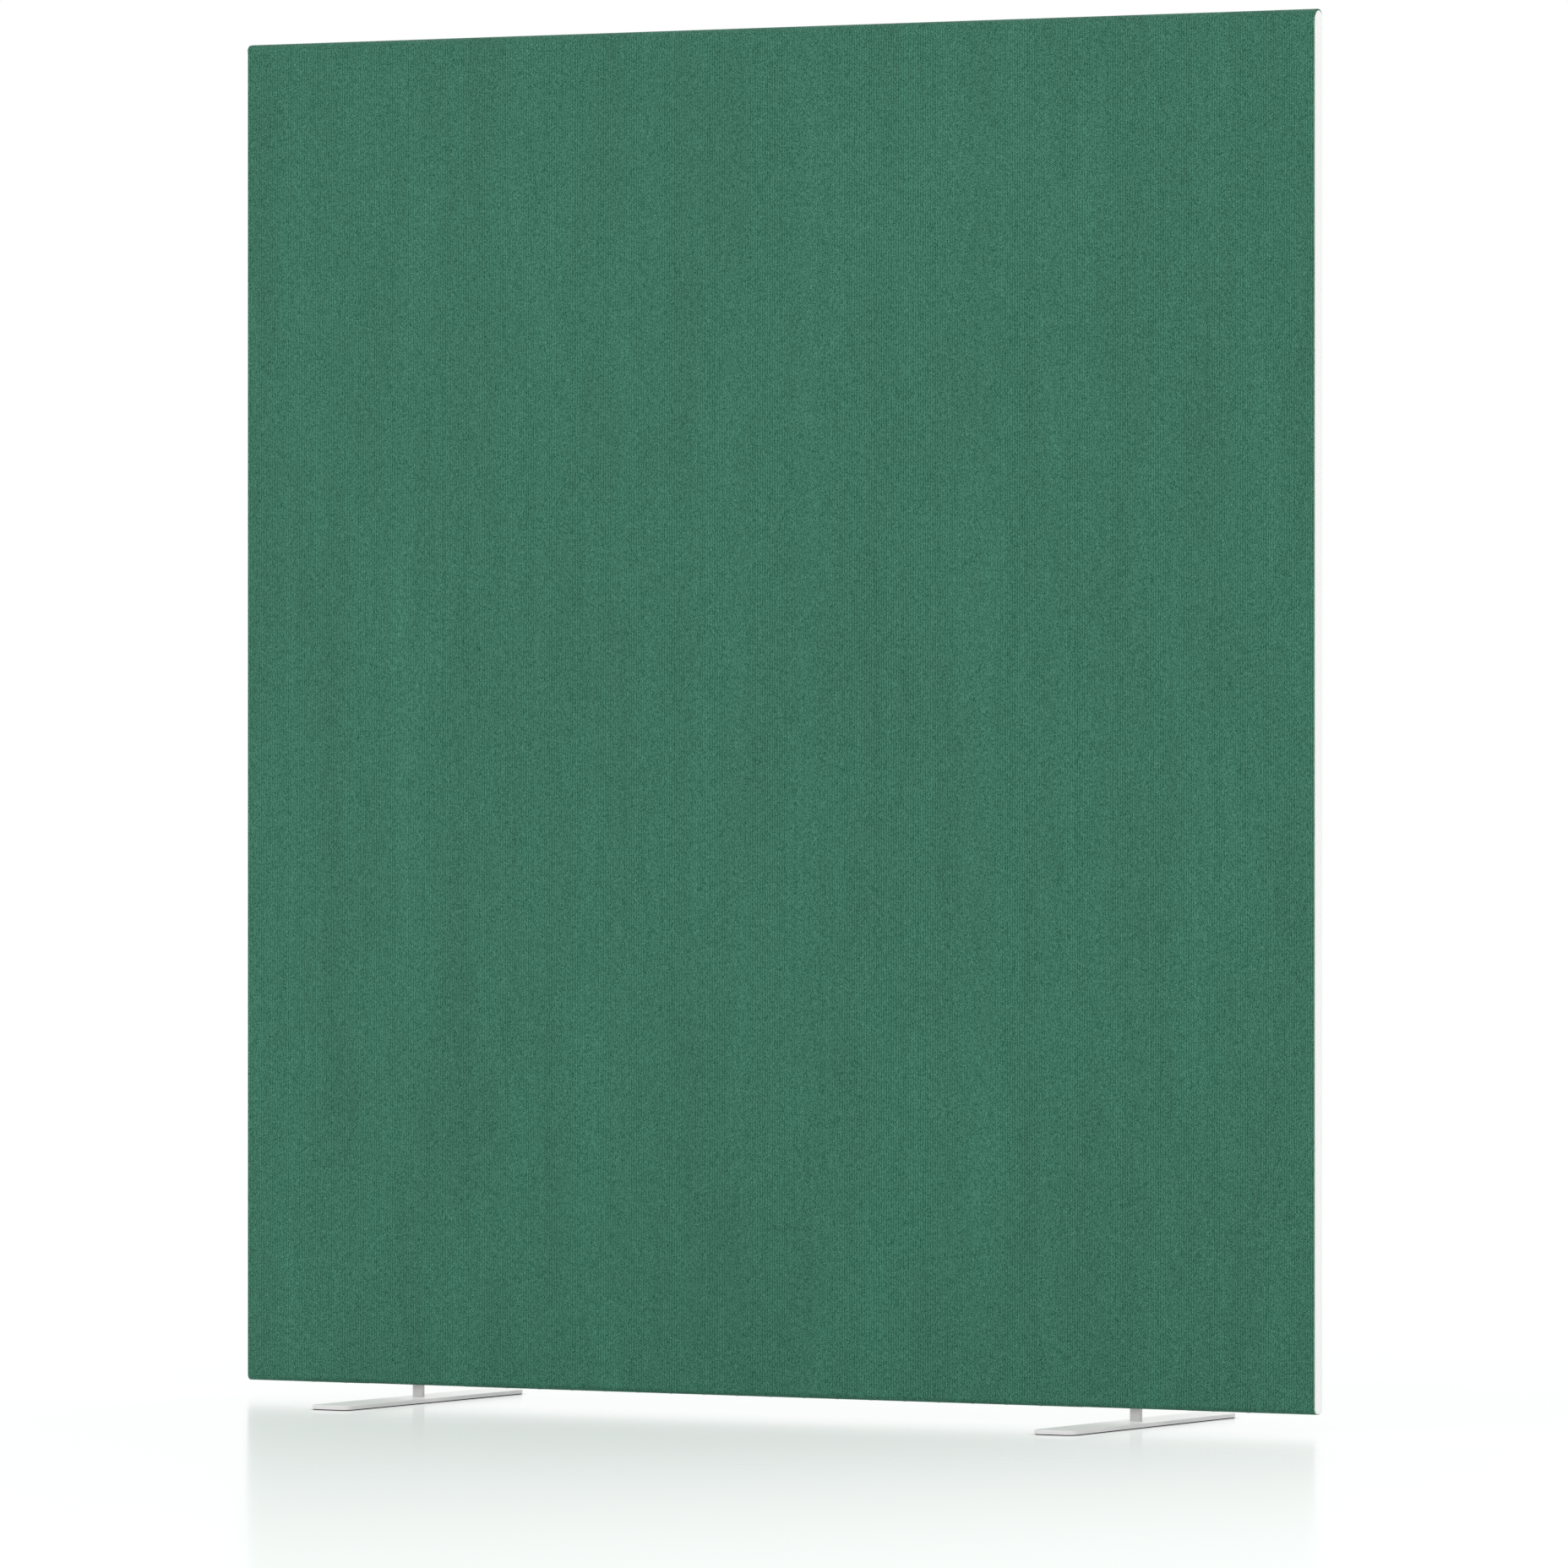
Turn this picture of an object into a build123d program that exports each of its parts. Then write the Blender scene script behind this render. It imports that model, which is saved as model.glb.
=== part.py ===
from build123d import *
from math import radians, tan
import os

# Office floor screen: a thin upholstered panel on two flat steel feet.
# Millimetres, +Z up. X runs along the panel, -Y is its front, and left is -X.
# The origin is on the floor, under the middle of the panel.

# Whole screen
overall_width = 1600
overall_height = 1800
floor_gap = 22

# Layers over the frame, each bedded on a film of glue
glue_film = 0.1
felt_thickness = 1.2
fabric_thickness = 0.8
fabric_roll_radius = 0.7
seam_gap = 0.5

# Wooden frame and the boards in its bays
board_thickness = 18
stile_width = 45
mullion_width = 45
top_rail_depth = 60
bottom_rail_depth = 90
cross_rail_depth = 45
cross_rail_height_share = 0.5
rail_arris_radius = 6
core_ease = 0.5

# Dowels of the frame's joints
dowel_radius = 4
dowel_web = 3
dowel_end_gap = 1
dowel_ease = 0.1
dowel_spacing_share = 0.45

# Edging strips with a tongue that is knocked into a groove
strip_thickness = 2
strip_edge_radius = 0.5
tongue_thickness = 2.4
tongue_depth = 6
tongue_ease = 0.15
groove_end_gap = 1
turn_in_gap = 2

# Feet, the inset being from an end of the panel to a foot's centre line
foot_inset = 262.5
foot_length = 450
foot_width = 60
foot_thickness = 5
foot_corner_radius = 13
foot_edge_radius = 0.6
pad_thickness = 1
pad_inset = 1
upright_width = 15
upright_depth = 6
upright_edge_radius = 0.5

# Mounting plates let into the bottom rail
mounting_plate_thickness = 4
mounting_plate_width = 12
mounting_plate_set_in = 0.5
mounting_plate_corner_radius = 2
mounting_plate_ease = 0.5
plate_end_margin = 11
driver_gap = 12
screw_pitch = 22

# Countersunk screws and their threaded inserts
screw_radius = 2.5
screw_head_radius = 4.6
screw_head_angle = 90
screw_length = 20
screw_clearance = 0.25
screw_tip_gap = 1
key_width = 3
key_sides = 6
key_depth = 1.4
insert_radius = 4
insert_length = 12
insert_ease = 0.05
thread_gap = 0.05

# Staples under the panel, across the cloth's two edges
staple_crown = 7
staple_wire_width = 1.2
staple_wire_thickness = 0.6
staple_leg = 8
staple_ease = 0.1
staple_pitch = 50

# How far a cutting tool runs past the face that it cuts
overrun = 1

sides = {"left": -1, "right": 1}

# Frame limits
frame_low = floor_gap + fabric_thickness + glue_film
frame_high = overall_height - fabric_thickness - felt_thickness - 2 * glue_film
fabric_end = overall_width / 2 - strip_thickness
frame_end = fabric_end - fabric_thickness - glue_film
bay_low = frame_low + bottom_rail_depth
bay_high = frame_high - top_rail_depth

# Layer surfaces, as half thicknesses of the panel
board_half = board_thickness / 2
felt_inner_half = board_half + glue_film
felt_outer_half = felt_inner_half + felt_thickness
fabric_inner_half = felt_outer_half + glue_film
fabric_outer_half = fabric_inner_half + fabric_thickness
fabric_inner_radius = rail_arris_radius + glue_film
fabric_outer_radius = fabric_inner_radius + fabric_thickness

# Frame members
foot_x = overall_width / 2 - foot_inset
mullions = {"left": -foot_x, "centre": 0, "right": foot_x}
cross_z = bay_low + (bay_high - bay_low) * cross_rail_height_share
columns = {
    "left": (stile_width - frame_end, -foot_x - mullion_width / 2),
    "centre_left": (-foot_x + mullion_width / 2, -mullion_width / 2),
    "centre_right": (mullion_width / 2, foot_x - mullion_width / 2),
    "right": (foot_x + mullion_width / 2, frame_end - stile_width),
}
rows = {
    "lower": (bay_low, cross_z - cross_rail_depth / 2),
    "upper": (cross_z + cross_rail_depth / 2, bay_high),
}

# Edging strips
groove_depth = tongue_depth + groove_end_gap
groove_width = tongue_thickness + 2 * tongue_ease
fabric_turn_in = fabric_outer_half - tongue_thickness / 2 - turn_in_gap
tongue_low = floor_gap + fabric_turn_in + turn_in_gap
tongue_high = overall_height - fabric_turn_in - turn_in_gap

# Dowels: those from both faces of a mullion leave a web of wood between them
dowel_depth = (mullion_width - dowel_web) / 2 - dowel_end_gap
dowel_hole_depth = dowel_depth + dowel_end_gap
stile_free_width = stile_width - groove_depth
stile_dowel_x = frame_end - groove_depth - stile_free_width / 2


def dowel_pair(centre, width):
    """Centres of the two dowels that share a member's width."""
    spacing = width * dowel_spacing_share
    return [centre - spacing / 2, centre + spacing / 2]


post_dowel_xs = []
for side in sides.values():
    post_dowel_xs += dowel_pair(side * stile_dowel_x, stile_free_width)
for mullion_x in mullions.values():
    post_dowel_xs += dowel_pair(mullion_x, mullion_width)
low_dowels = [(x, 0, bay_low) for x in post_dowel_xs]
high_dowels = [(x, 0, bay_high) for x in post_dowel_xs]
cross_dowels = []
for column_low, column_high in columns.values():
    for z in dowel_pair(cross_z, cross_rail_depth):
        cross_dowels += [(column_low, 0, z), (column_high, 0, z)]
along_x = (0, 90, 0)

# Feet and their fixings
foot_top = pad_thickness + foot_thickness
plate_low = floor_gap + mounting_plate_set_in
plate_high = plate_low + mounting_plate_thickness
first_screw = foot_width / 2 + driver_gap
last_screw = first_screw + screw_pitch
plate_length = 2 * (last_screw + plate_end_margin)
screw_head_height = (screw_head_radius - screw_radius) / tan(radians(screw_head_angle / 2))
screw_high = plate_low + screw_length
screw_offsets = [-last_screw, -first_screw, first_screw, last_screw]
screw_xs = [side * foot_x + offset for side in sides.values() for offset in screw_offsets]

# Staples stand at an even pitch, and leave out the stretches that the plates take
staple_row = int((fabric_end - staple_pitch) / staple_pitch)
staple_reach = (plate_length + staple_pitch) / 2
staple_xs = [
    step * staple_pitch
    for step in range(-staple_row, staple_row + 1)
    if abs(abs(step * staple_pitch) - foot_x) > staple_reach
]
staple_low = floor_gap - staple_wire_thickness
staple_leg_y = (staple_crown - staple_wire_thickness) / 2
staple_legs = [(x, y) for x in staple_xs for y in (-staple_leg_y, staple_leg_y)]


def bullnose_outline(half, low, high, mode=Mode.ADD):
    """Section across the panel with a half-round top and square lower corners."""
    straight = high - half - low
    with Locations((0, low + straight / 2)):
        Rectangle(2 * half, straight, mode=mode)
    with Locations((0, high - half)):
        Circle(half, mode=mode)


def panel_section(half, low, high, corner_radius, x):
    """Section across the panel at x, with a half-round top and rounded lower corners."""
    with BuildSketch(Plane.YZ.offset(x)) as section:
        straight = high - half - low
        with Locations((0, low + straight / 2)):
            Rectangle(2 * half, straight)
        fillet(section.vertices().group_by(Axis.Y)[0], corner_radius)
        with Locations((0, high - half)):
            Circle(half)
    return section.sketch


def board(x_low, x_high, z_low, z_high):
    """Square-edged board, as thick as the frame."""
    with BuildSketch(Plane.XY.offset(z_low)) as lower_end:
        with Locations(((x_low + x_high) / 2, 0)):
            Rectangle(x_high - x_low, board_thickness)
    extrude(lower_end.sketch, z_high - z_low)


def drill_dowels(places, rotation=(0, 0, 0)):
    """Dowel holes that reach equally far into both members of a joint."""
    with Locations(*places):
        Cylinder(
            dowel_radius + dowel_ease, 2 * dowel_hole_depth,
            rotation=rotation, mode=Mode.SUBTRACT,
        )


def cut_groove(side):
    """Groove along an end of the frame for the edging's tongue."""
    with BuildSketch(Plane.XY.offset(frame_low - overrun)) as groove:
        with Locations((side * (frame_end - groove_depth / 2 + overrun / 2), 0)):
            Rectangle(groove_depth + overrun, groove_width)
    extrude(groove.sketch, frame_high - frame_low + 2 * overrun, mode=Mode.SUBTRACT)


def cut_plate_windows():
    """Openings for both mounting plates, from below the panel up to the plates' upper faces."""
    with BuildSketch(Plane.XY.offset(floor_gap - overrun)) as windows:
        with Locations((-foot_x, 0), (foot_x, 0)):
            Rectangle(plate_length + 2 * mounting_plate_ease, mounting_plate_width + 2 * mounting_plate_ease)
    extrude(windows.sketch, plate_high - floor_gap + overrun, mode=Mode.SUBTRACT)


def cut_staple_slots():
    """Slots that the staples' legs make in the cloth and the bottom rail."""
    with BuildSketch(Plane.XY.offset(floor_gap - overrun)) as slots:
        with Locations(*staple_legs):
            Rectangle(staple_wire_width + 2 * staple_ease, staple_wire_thickness + 2 * staple_ease)
    extrude(slots.sketch, overrun + staple_leg + staple_ease, mode=Mode.SUBTRACT)


def finish(part, name):
    """Label a finished piece and write it to its own file."""
    part.label = name
    export_step(part, f"parts/{name}.step")


# Top rail, with a half-round top edge
with BuildPart() as top_rail:
    with BuildSketch(Plane.YZ):
        bullnose_outline(board_half, bay_high, frame_high)
    extrude(amount=frame_end, both=True)
    drill_dowels(high_dowels)
    for side in sides.values():
        cut_groove(side)
finish(top_rail.part, "top_rail")

# Bottom rail, with rounded lower arrises, recesses for the plates and holes for the inserts
with BuildPart() as bottom_rail:
    with BuildSketch(Plane.YZ) as rail_section:
        with Locations((0, frame_low + bottom_rail_depth / 2)):
            Rectangle(board_thickness, bottom_rail_depth)
        fillet(rail_section.vertices().group_by(Axis.Y)[0], rail_arris_radius)
    extrude(amount=frame_end, both=True)
    drill_dowels(low_dowels)
    for side in sides.values():
        cut_groove(side)
    cut_plate_windows()
    with BuildSketch(Plane.XY.offset(plate_high)):
        with Locations(*[(x, 0) for x in screw_xs]):
            Circle(insert_radius + insert_ease)
    extrude(amount=screw_high + screw_tip_gap - plate_high, mode=Mode.SUBTRACT)
    cut_staple_slots()
finish(bottom_rail.part, "bottom_rail")

# Stiles at the two ends
for name, side in sides.items():
    x_low, x_high = sorted([side * (frame_end - stile_width), side * frame_end])
    with BuildPart() as stile:
        board(x_low, x_high, bay_low, bay_high)
        cut_groove(side)
        drill_dowels([(x, y, z) for x, y, z in low_dowels + high_dowels if x_low < x < x_high])
        drill_dowels([(x, y, z) for x, y, z in cross_dowels if x_low <= x <= x_high], along_x)
    finish(stile.part, f"{name}_stile")

# Mullions above the feet and in the middle
for name, mullion_x in mullions.items():
    x_low = mullion_x - mullion_width / 2
    x_high = mullion_x + mullion_width / 2
    with BuildPart() as mullion:
        board(x_low, x_high, bay_low, bay_high)
        drill_dowels([(x, y, z) for x, y, z in low_dowels + high_dowels if x_low < x < x_high])
        drill_dowels([(x, y, z) for x, y, z in cross_dowels if x_low <= x <= x_high], along_x)
    finish(mullion.part, f"{name}_mullion")

# Cross rails between the uprights
for name, (column_low, column_high) in columns.items():
    with BuildPart() as cross_rail:
        board(column_low, column_high, rows["lower"][1], rows["upper"][0])
        drill_dowels([(x, y, z) for x, y, z in cross_dowels if column_low <= x <= column_high], along_x)
    finish(cross_rail.part, f"{name}_cross_rail")

# Dowels
with BuildPart() as frame_dowels:
    with Locations(*low_dowels, *high_dowels):
        Cylinder(dowel_radius, 2 * dowel_depth)
    with Locations(*cross_dowels):
        Cylinder(dowel_radius, 2 * dowel_depth, rotation=along_x)
finish(frame_dowels.part, "frame_dowels")

# Sound-deadening boards, one in each bay
for row_name, (row_low, row_high) in rows.items():
    for column_name, (column_low, column_high) in columns.items():
        with BuildPart() as core:
            board(
                column_low + core_ease, column_high - core_ease,
                row_low + core_ease, row_high - core_ease,
            )
        finish(core.part, f"{row_name}_{column_name}_core")

# Felt over each face, from above the rounded arris up to the ridge of the top edge
felt_low = frame_low + rail_arris_radius
for name, side in {"front": -1, "back": 1}.items():
    with BuildPart() as felt:
        with BuildSketch(Plane.YZ):
            bullnose_outline(felt_outer_half, felt_low, frame_high + glue_film + felt_thickness)
            bullnose_outline(felt_inner_half, felt_low, frame_high + glue_film, Mode.SUBTRACT)
            with Locations((-side * overall_height / 2, overall_height / 2)):
                Rectangle(overall_height, overall_height, mode=Mode.SUBTRACT)
        extrude(amount=frame_end, both=True)
    finish(felt.part, f"{name}_felt")

# Cloth round the panel: one sheet, open along the seam underneath and turned in at both ends
with BuildPart() as fabric_cover:
    outer = panel_section(fabric_outer_half, floor_gap, overall_height, fabric_outer_radius, 0)
    extrude(outer, fabric_end, both=True)
    fillet(fabric_cover.faces().filter_by(Axis.X).edges(), fabric_roll_radius)
    inner = panel_section(
        fabric_inner_half, floor_gap + fabric_thickness, overall_height - fabric_thickness,
        fabric_inner_radius, 0,
    )
    extrude(inner, fabric_end - fabric_thickness, both=True, mode=Mode.SUBTRACT)
    with BuildSketch(Plane.YZ):
        with Locations((0, (tongue_low + tongue_high) / 2)):
            Rectangle(tongue_thickness + 2 * turn_in_gap, tongue_high - tongue_low + 2 * turn_in_gap)
    extrude(amount=fabric_end + overrun, both=True, mode=Mode.SUBTRACT)
    with BuildSketch(Plane.XY.offset(floor_gap - overrun)):
        Rectangle(overall_width, seam_gap)
    extrude(amount=fabric_turn_in + 2 * overrun, mode=Mode.SUBTRACT)
    cut_plate_windows()
    cut_staple_slots()
finish(fabric_cover.part, "fabric_cover")

# Staples along the seam
with BuildPart() as fabric_staples:
    with BuildSketch(Plane.XY.offset(staple_low)):
        with Locations(*[(x, 0) for x in staple_xs]):
            Rectangle(staple_wire_width, staple_crown)
    extrude(amount=staple_wire_thickness)
    with BuildSketch(Plane.XY.offset(floor_gap)):
        with Locations(*staple_legs):
            Rectangle(staple_wire_width, staple_wire_thickness)
    extrude(amount=staple_leg)
finish(fabric_staples.part, "fabric_staples")

# Edging strips: a face as wide as the board, and a tongue
for name, side in sides.items():
    with BuildPart() as end_strip:
        face = panel_section(board_half, frame_low, frame_high, rail_arris_radius, side * fabric_end)
        extrude(face, side * strip_thickness)
        fillet(end_strip.faces().sort_by(Axis.X, reverse=side < 0)[-1].edges(), strip_edge_radius)
        with BuildSketch(Plane.YZ.offset(side * fabric_end)):
            with Locations((0, (tongue_low + tongue_high) / 2)):
                Rectangle(tongue_thickness, tongue_high - tongue_low)
        extrude(amount=-side * (fabric_end - frame_end + tongue_depth))
    finish(end_strip.part, f"{name}_end_strip")

# Feet: a pad, a plate, an upright welded to it, and the mounting plate on the upright
for name, side in sides.items():
    centre = (side * foot_x, 0)

    with BuildPart() as floor_pad:
        with BuildSketch():
            with Locations(centre):
                RectangleRounded(
                    foot_width - 2 * pad_inset, foot_length - 2 * pad_inset,
                    foot_corner_radius - pad_inset,
                )
        extrude(amount=pad_thickness)
    finish(floor_pad.part, f"{name}_floor_pad")

    with BuildPart() as foot_plate:
        with BuildSketch(Plane.XY.offset(pad_thickness)):
            with Locations(centre):
                RectangleRounded(foot_width, foot_length, foot_corner_radius)
        extrude(amount=foot_thickness)
        fillet(foot_plate.faces().sort_by(Axis.Z)[-1].edges(), foot_edge_radius)
    finish(foot_plate.part, f"{name}_foot_plate")

    with BuildPart() as upright:
        with BuildSketch(Plane.XY.offset(foot_top)):
            with Locations(centre):
                RectangleRounded(upright_width, upright_depth, upright_edge_radius)
        extrude(amount=plate_low - foot_top)
    finish(upright.part, f"{name}_upright")

    with BuildPart() as mounting_plate:
        with BuildSketch(Plane.XY.offset(plate_low)):
            with Locations(centre):
                RectangleRounded(plate_length, mounting_plate_width, mounting_plate_corner_radius)
        extrude(amount=mounting_plate_thickness)
        underside = Plane(origin=(side * foot_x, 0, plate_low), x_dir=(1, 0, 0), z_dir=(0, 0, -1))
        with Locations(underside):
            with Locations(*[(offset, 0) for offset in screw_offsets]):
                CounterSinkHole(
                    screw_radius + screw_clearance, screw_head_radius + screw_clearance,
                    counter_sink_angle=screw_head_angle,
                )
    finish(mounting_plate.part, f"{name}_mounting_plate")

# Countersunk screws with a six-sided key socket
with BuildPart() as foot_screws:
    upwards = (Align.CENTER, Align.CENTER, Align.MIN)
    with Locations(*[(x, 0, plate_low) for x in screw_xs]):
        Cone(screw_head_radius, screw_radius, screw_head_height, align=upwards)
        Cylinder(screw_radius, screw_length, align=upwards)
    with BuildSketch(Plane.XY.offset(plate_low)):
        with Locations(*[(x, 0) for x in screw_xs]):
            RegularPolygon(key_width / 2, key_sides, major_radius=False)
    extrude(amount=key_depth, mode=Mode.SUBTRACT)
finish(foot_screws.part, "foot_screws")

# Threaded inserts, their threads drawn plain
with BuildPart() as threaded_inserts:
    with BuildSketch(Plane.XY.offset(plate_high)):
        with Locations(*[(x, 0) for x in screw_xs]):
            Circle(insert_radius)
            Circle(screw_radius + thread_gap, mode=Mode.SUBTRACT)
    extrude(amount=insert_length)
finish(threaded_inserts.part, "threaded_inserts")
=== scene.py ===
import math
import bpy
import numpy as np
from bpy.props import FloatProperty, FloatVectorProperty, PointerProperty
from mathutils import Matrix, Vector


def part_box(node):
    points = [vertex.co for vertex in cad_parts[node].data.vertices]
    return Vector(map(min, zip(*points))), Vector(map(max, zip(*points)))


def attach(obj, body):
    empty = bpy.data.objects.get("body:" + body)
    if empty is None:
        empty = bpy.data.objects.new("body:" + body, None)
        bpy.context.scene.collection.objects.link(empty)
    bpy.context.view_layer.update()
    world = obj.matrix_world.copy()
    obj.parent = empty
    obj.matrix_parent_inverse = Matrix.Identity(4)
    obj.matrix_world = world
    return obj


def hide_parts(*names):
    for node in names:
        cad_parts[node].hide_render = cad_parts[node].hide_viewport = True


# Office floor screen: a flat panel in ribbed green cloth with a round top edge, white edging
# at both ends and two flat steel feet. Metres, +Z up, X along the panel, -Y is its front.

bl_info = {
    "name": "Office Floor Screen",
    "version": (1, 0, 0),
    "blender": (4, 5, 0),
    "location": "View3D > Sidebar > Screen",
    "description": "Dresses an office floor screen in cloth, edging plastic and powder-coated steel",
    "category": "Object",
}

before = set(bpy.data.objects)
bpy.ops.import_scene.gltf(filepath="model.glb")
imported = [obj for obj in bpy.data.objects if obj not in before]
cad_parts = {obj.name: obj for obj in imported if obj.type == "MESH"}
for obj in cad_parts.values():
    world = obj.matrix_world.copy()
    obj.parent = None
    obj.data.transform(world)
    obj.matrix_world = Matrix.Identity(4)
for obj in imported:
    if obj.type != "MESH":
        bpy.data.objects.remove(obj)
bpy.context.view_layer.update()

BODY = "root"
MM = 0.001

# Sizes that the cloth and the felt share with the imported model
CORNER_RADIUS = 6.9 * MM
TURN_IN = 8.0 * MM
SEAM_GAP = 0.5 * MM
WINDOW_EASE = 0.5 * MM
FELT_THICKNESS = 1.2 * MM

# The cloth's fold round each end of the panel: how far it rolls on to the face, how far it
# stands out beside the edging strip over the round top, where the cloth that is turned in
# gathers, how deep it is, and how deep underneath, where the strip leaves it less room. The
# depth goes from the one to the other with a power of the share that faces down.
FOLD_ROLL = 0.7 * MM
FOLD_OUT = 1.9 * MM
FOLD_DEPTH = 2.0 * MM
FOLD_DEPTH_BELOW = 0.8 * MM
FOLD_POWER_BELOW = 6

# How finely the curves are divided
TOP_STEPS = 12
CORNER_STEPS = 2
FOLD_STEPS = 6
FELT_COLUMNS = 96
FELT_ROWS = 64

# A Mix node holds sockets of each kind under the same names, so colours go by number
MIX_A, MIX_B, MIX_RESULT = 6, 7, 2


def linear(hex_colour):
    """Linear red, green and blue of an sRGB hex colour, by the sRGB standard's two curves."""
    shares = np.array([int(hex_colour[i:i + 2], 16) for i in (1, 3, 5)]) / 255
    low = shares / 12.92
    high = ((shares + 0.055) / 1.055) ** 2.4
    return tuple(np.where(shares <= 0.04045, low, high).tolist())


class ScreenCloth(bpy.types.PropertyGroup):
    """Sizes and colours of the ribbed cloth."""

    rib_pitch: FloatProperty(
        name="Rib Pitch", description="Distance from one rib to the next",
        default=2.5 * MM, min=1.0 * MM, precision=5, unit="LENGTH",
    )
    rib_depth: FloatProperty(
        name="Rib Depth", description="Height of a rib above its grooves",
        default=0.3 * MM, min=0.0, precision=5, unit="LENGTH",
    )
    thickness: FloatProperty(
        name="Thickness", description="Thickness of the cloth under its ribs",
        default=0.5 * MM, min=0.1 * MM, precision=5, unit="LENGTH",
    )
    dark_yarn: FloatVectorProperty(
        name="Dark Yarn", description="Darkest fibres of the mottled yarn",
        default=linear("#004330"), subtype="COLOR", min=0.0, max=1.0,
    )
    light_yarn: FloatVectorProperty(
        name="Light Yarn", description="Lightest fibres of the mottled yarn",
        default=linear("#56907a"), subtype="COLOR", min=0.0, max=1.0,
    )


class ScreenFinishes(bpy.types.PropertyGroup):
    """Colours of the hard parts."""

    edging: FloatVectorProperty(
        name="Edging", description="Plastic edging at both ends",
        default=linear("#f0f0ef"), subtype="COLOR", min=0.0, max=1.0,
    )
    feet: FloatVectorProperty(
        name="Feet", description="Powder coat on the foot plates",
        default=linear("#dfdddd"), subtype="COLOR", min=0.0, max=1.0,
    )
    # The uprights' grey is the feet's powder coat made darker: painted shade for the shade under the
    # panel
    uprights: FloatVectorProperty(
        name="Uprights", description="Powder coat on the uprights",
        default=linear("#c2c1c1"), subtype="COLOR", min=0.0, max=1.0,
    )
    pads: FloatVectorProperty(
        name="Pads", description="Rubber pads under the feet",
        default=linear("#0a0b0b"), subtype="COLOR", min=0.0, max=1.0,
    )


class ScreenStage(bpy.types.PropertyGroup):
    """Camera, light and floor."""

    azimuth: FloatProperty(
        name="Camera Azimuth", description="Angle of the camera to the right of the panel's front",
        default=math.radians(29.9), subtype="ANGLE",
    )
    distance: FloatProperty(
        name="Camera Distance", description="Level distance from the camera to the aimed point",
        default=15.146, min=1.0, unit="LENGTH",
    )
    height: FloatProperty(
        name="Camera Height", description="Height of the camera above the floor",
        default=0.8959, min=0.0, precision=4, unit="LENGTH",
    )
    aim: FloatProperty(
        name="Aim", description="Where along the panel the camera points",
        default=19.5 * MM, precision=4, unit="LENGTH",
    )
    lens: FloatProperty(
        name="Lens", description="Focal length of the camera",
        default=267.96, min=1.0, unit="CAMERA",
    )
    horizon: FloatProperty(
        name="Horizon",
        description="Height of the horizon above the picture's middle, as a share of its side",
        default=0.03849, precision=5,
    )
    sky: FloatProperty(
        name="Sky", description="Strength of the light from all round",
        default=0.75, min=0.0,
    )
    reflection: FloatProperty(
        name="Floor Gloss", description="Share of the floor's reflection where it is glossiest",
        default=0.575, min=0.0, max=1.0, subtype="FACTOR",
    )


def node(tree, kind, inputs=None, **settings):
    """Adds a node with its settings. An input is a value, or the socket that is linked to it."""
    made = tree.nodes.new(kind)
    for name, value in settings.items():
        setattr(made, name, value)
    for name, value in (inputs or {}).items():
        if isinstance(value, bpy.types.NodeSocket):
            tree.links.new(value, made.inputs[name])
        else:
            made.inputs[name].default_value = value
    return made


def new_material(name):
    """An empty material, and its tree."""
    material = bpy.data.materials.new(name)
    material.use_nodes = True
    material.node_tree.nodes.clear()
    return material, material.node_tree


def pattern_place(tree, grain):
    """Object coordinates in grains: each axis is divided by its real grain size."""
    place = node(tree, "ShaderNodeTexCoord").outputs["Object"]
    scale = [1 / size for size in grain]
    return node(tree, "ShaderNodeMapping", {"Vector": place, "Scale": scale}).outputs["Vector"]


def close_material(tree, colour, roughness, normal=None, **constants):
    """Ends a tree in a Principled shader. Underscores in a constant's name stand for spaces."""
    inputs = {name.replace("_", " "): value for name, value in constants.items()}
    inputs["Base Color"] = colour
    inputs["Roughness"] = roughness
    if normal is not None:
        inputs["Normal"] = normal
    shader = node(tree, "ShaderNodeBsdfPrincipled", inputs)
    node(tree, "ShaderNodeOutputMaterial", {"Surface": shader.outputs["BSDF"]})


def toned(tree, colour, pattern, low, high):
    """A colour whose brightness follows a pattern: low times it at 0, and high times it at 1."""
    tone = node(
        tree, "ShaderNodeMapRange", {"Value": pattern, "To Min": low, "To Max": high},
    ).outputs["Result"]
    return node(
        tree, "ShaderNodeHueSaturation", {"Color": (*colour, 1), "Value": tone},
    ).outputs["Color"]


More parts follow.
